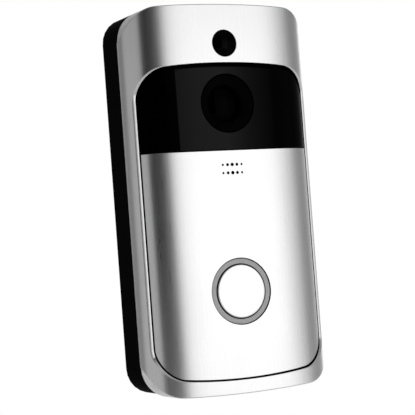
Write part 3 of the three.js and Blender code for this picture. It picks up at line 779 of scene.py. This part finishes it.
PANEL_EDGE = 0.12 * MM
RING_GAP = 0.25 * MM                 # between the panel and the light ring
GRILLE_STEP = 0.12 * MM
WINDOW_EDGE = 1.2 * MM               # rounding along the window's top
WINDOW_EDGE_LEAST = 0.25             # its share of that along the sides and the bottom
PORT_RADIUS = 10.4 * MM
PORT_EDGE = 0.3 * MM
PORT_STEP = 0.5 * MM


def part_of_opening(low, high):
    """The opening's outline, clear of its edge, cut to a range of heights."""
    loop = offset(outline_loop(OPENING_OUTLINE, 0.1 * MM), -VISIBLE_GAP)
    cut = loop.copy()
    cut[:, 1] = np.clip(cut[:, 1], low, high)
    return resampled(cut, EDGE_STEP)


def hole_grid():
    """Centre and radius of each microphone hole: two rows of five, smaller towards the ends."""
    pitch = 1.87 * MM
    radii = [0.4 * MM, 0.53 * MM, 0.62 * MM, 0.53 * MM, 0.4 * MM]
    rows = [11.85 * MM, 8.93 * MM]
    return [((pitch * (i - 2), z), radius) for z in rows for i, radius in enumerate(radii)]


def build_panel():
    button = centre_of("light_ring")
    ring_low, ring_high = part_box("light_ring")
    ring_radius = (ring_high.x - ring_low.x) / 2
    holes = [circle_loop((0, button.z), ring_radius + RING_GAP, HOLE_STEP)]
    holes += [circle_loop(place, radius, GRILLE_STEP) for place, radius in hole_grid()]
    outer = part_of_opening(panel_low.z, panel_high.z)
    stand_for(sheet("silver_panel", outer, holes, PANEL_INSET, PANEL_WALL, PANEL_EDGE), "front_panel")


def build_window():
    outer = part_of_opening(window_low.z, window_high.z)
    camera = centre_of("lens_glass")
    port = circle_loop((camera.x, camera.z), PORT_RADIUS, PORT_STEP)
    upward = np.clip(outward(outer)[:, 1], 0, 1)
    edge = WINDOW_EDGE * (WINDOW_EDGE_LEAST + (1 - WINDOW_EDGE_LEAST) * upward**2)
    slope = [face.points(offset(outer, -edge * (1 - math.sin(a))), PANEL_INSET + edge * (1 - math.cos(a)))
             for a in np.linspace(0, math.pi / 2, 6)]
    port_path = [*rounded(PORT_EDGE, 3), (0, PANEL_WALL)]
    shell = Shell()
    shell.region([offset(outer, -edge), offset(port, PORT_EDGE)], PANEL_INSET)
    shell.region([outer, port], PANEL_INSET + PANEL_WALL)
    shell.rings([*slope, *rim(outer, [(0, PANEL_WALL)], PANEL_INSET)])
    shell.rings(rim(port, port_path, PANEL_INSET, hole=True))
    stand_for(shell.build("black_window", PANEL_INSET), "camera_window")


# ---------------------------------------------------------------- turned pieces

TURN_SIDES = 120
DOME_SIDES = 80
DOME_STEPS = 12
LENS_RISE = 0.75                     # share of the lens's thickness that its front rises


def arc(centre, radius, start, end, steps=6):
    """Points of an arc in (radius, y), angles in degrees."""
    turns = [math.radians(start + (end - start) * i / steps) for i in range(steps + 1)]
    return [(centre[0] + radius * math.cos(a), centre[1] + radius * math.sin(a)) for a in turns]


def turned(name, profile, centre, sides=TURN_SIDES, painted_shade_from=NO_PAINTED_SHADE):
    """A piece turned about an axis along Y, from a profile of (radius, y), with painted shade, the
    near-black, from one band on.
    """
    shell = Shell()
    turns = np.linspace(0, 2 * np.pi, sides, endpoint=False)
    rings = []
    for radius, y in profile:
        x = centre.x + radius * np.cos(turns)
        z = centre.z + radius * np.sin(turns)
        rings.append(np.column_stack([x, np.full(sides, y), z]))
    shell.rings(rings, painted_shade_from)
    return shell.build(name, NOT_BOWED)


def build_button():
    low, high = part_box("button_cap")
    centre = centre_of("button_cap")
    radius = 9.4 * MM
    flange = (high.x - low.x) / 2
    flange_y = -25.4 * MM
    flange_back = flange_y + 1 * MM
    edge = 0.3 * MM
    crown = 0.12 * MM
    front = [(radius * share, low.y + crown * share**3) for share in (0, 0.3, 0.6, 0.8, 0.93)]
    side = arc((radius - edge, low.y + crown + edge), edge, -90, 0)
    back = [(radius, flange_y), (flange, flange_y), (flange, flange_back), (0, flange_back)]
    # Painted shade: the cap's side below its rounded edge and its flange take the near-black, for the gap
    # round it.
    cap = turned("bell_button_cap", [*front, *side, *back], centre, painted_shade_from=len(front) + len(side) - 2)
    stand_for(cap, "button_cap")


def build_light_ring():
    low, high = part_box("light_ring")
    outer = (high.x - low.x) / 2
    inner = 9.8 * MM
    foot = 10.95 * MM
    ledge_y = -25.7 * MM
    edge = 0.18 * MM
    inner_edge = arc((inner + edge, low.y + edge), edge, 180, 270, 4)
    outer_edge = arc((outer - edge, low.y + edge), edge, 270, 360, 4)
    back = [(outer, high.y), (foot, high.y), (foot, ledge_y), (inner, ledge_y), (inner, low.y + edge)]
    # Painted shade: the ring's outer and inner side walls and its back take the near-black.
    ring = turned("bell_light_ring", [*inner_edge, *outer_edge, *back], centre_of("light_ring"),
                  painted_shade_from=len(inner_edge) + len(outer_edge) - 1)
    stand_for(ring, "light_ring")


def build_domed(name, node, radius, rise):
    """A turned piece whose front is a part of a sphere that rises from its rim."""
    low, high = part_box(node)
    sphere = (radius**2 + rise**2) / (2 * rise)
    spread = math.degrees(math.asin(radius / sphere))
    front = arc((0, low.y + sphere), sphere, -90, -90 + spread, DOME_STEPS)
    profile = [*front, (radius, high.y), (0, high.y)]
    stand_for(turned(name, profile, centre_of(node), DOME_SIDES), node)


def build_dome():
    build_domed("motion_sensor_dome", "pir_lens", DOME_HOLE - DOME_GAP, DOME_RISE)


def build_lens():
    low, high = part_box("lens_glass")
    build_domed("camera_lens_glass", "lens_glass", (high.x - low.x) / 2, (high.y - low.y) * LENS_RISE)


# ---------------------------------------------------------------- CAD shapes with softened edges

SATIN_BACKED = ("rear_housing", "wall_bracket", "battery_cover")   # their faces towards the wall are satin
TOWARDS_WALL = 0.3                   # a face's normal along Y from which it is one of those
FLAT = math.radians(1)               # faces that meet at less than this are joined up
ROUNDED_FROM = math.radians(38)      # and edges sharper than this are rounded
BEVEL_SEGMENTS = 2


def softened(node, name, radius):
    """A copy of a CAD node with its flat faces joined up and its sharp edges rounded."""
    mesh = frame["nodes"][node].data.copy()
    work = bmesh.new()
    work.from_mesh(mesh)
    bmesh.ops.remove_doubles(work, verts=work.verts, dist=WELD)
    bmesh.ops.dissolve_limit(work, angle_limit=FLAT, verts=work.verts, edges=work.edges)
    sharp = [e for e in work.edges if len(e.link_faces) == 2 and e.calc_face_angle(0) > ROUNDED_FROM]
    bmesh.ops.bevel(work, geom=sharp, offset=radius, segments=BEVEL_SEGMENTS, profile=0.5, affect="EDGES",
                    clamp_overlap=True)
    for polygon in work.faces:
        polygon.material_index = int(node in SATIN_BACKED and polygon.normal.y > TOWARDS_WALL)
    work.to_mesh(mesh)
    work.free()
    mesh.shade_smooth()
    mesh.set_sharp_from_angle(angle=CREASE)
    made = new_object(name, mesh)
    made.modifiers.new("even_shading", "WEIGHTED_NORMAL").keep_sharp = True
    return stand_for(made, node, second="satin_black")


SOFTENED_NODES = {
    "rear_housing": ("black_housing", 0.4 * MM),
    "lens_hood": ("camera_hood", 0.12 * MM),
    "wall_bracket": ("bracket_plate", 0.3 * MM),
    "battery_cover": ("battery_door", 0.15 * MM),
    "lock_screw": ("locking_screw", 0.2 * MM),
    "usb_plug": ("socket_plug", 0.2 * MM),
    "reset_button": ("reset_push", 0.2 * MM),
    "speaker": ("speaker_box", 0.3 * MM),
    "terminal_plate_left": ("left_terminal_plate", 0.1 * MM),
    "terminal_plate_right": ("right_terminal_plate", 0.1 * MM),
    "terminal_screw_left": ("left_terminal_screw", 0.15 * MM),
    "terminal_screw_right": ("right_terminal_screw", 0.15 * MM),
    "case_screw_top_left": ("top_left_screw", 0.12 * MM),
    "case_screw_top_right": ("top_right_screw", 0.12 * MM),
    "case_screw_bottom_left": ("bottom_left_screw", 0.12 * MM),
    "case_screw_bottom_right": ("bottom_right_screw", 0.12 * MM),
}


# ---------------------------------------------------------------- assembly

make_camera()
make_studio()
for maker in MATERIAL_MAKERS:
    MATERIALS[maker.__name__] = maker()
for node, obj in frame["nodes"].items():
    dress(obj, NODE_SLOT[node])

build_frame()
build_panel()
build_window()
build_button()
build_light_ring()
build_dome()
build_lens()
for node, (name, radius) in SOFTENED_NODES.items():
    softened(node, name, radius)
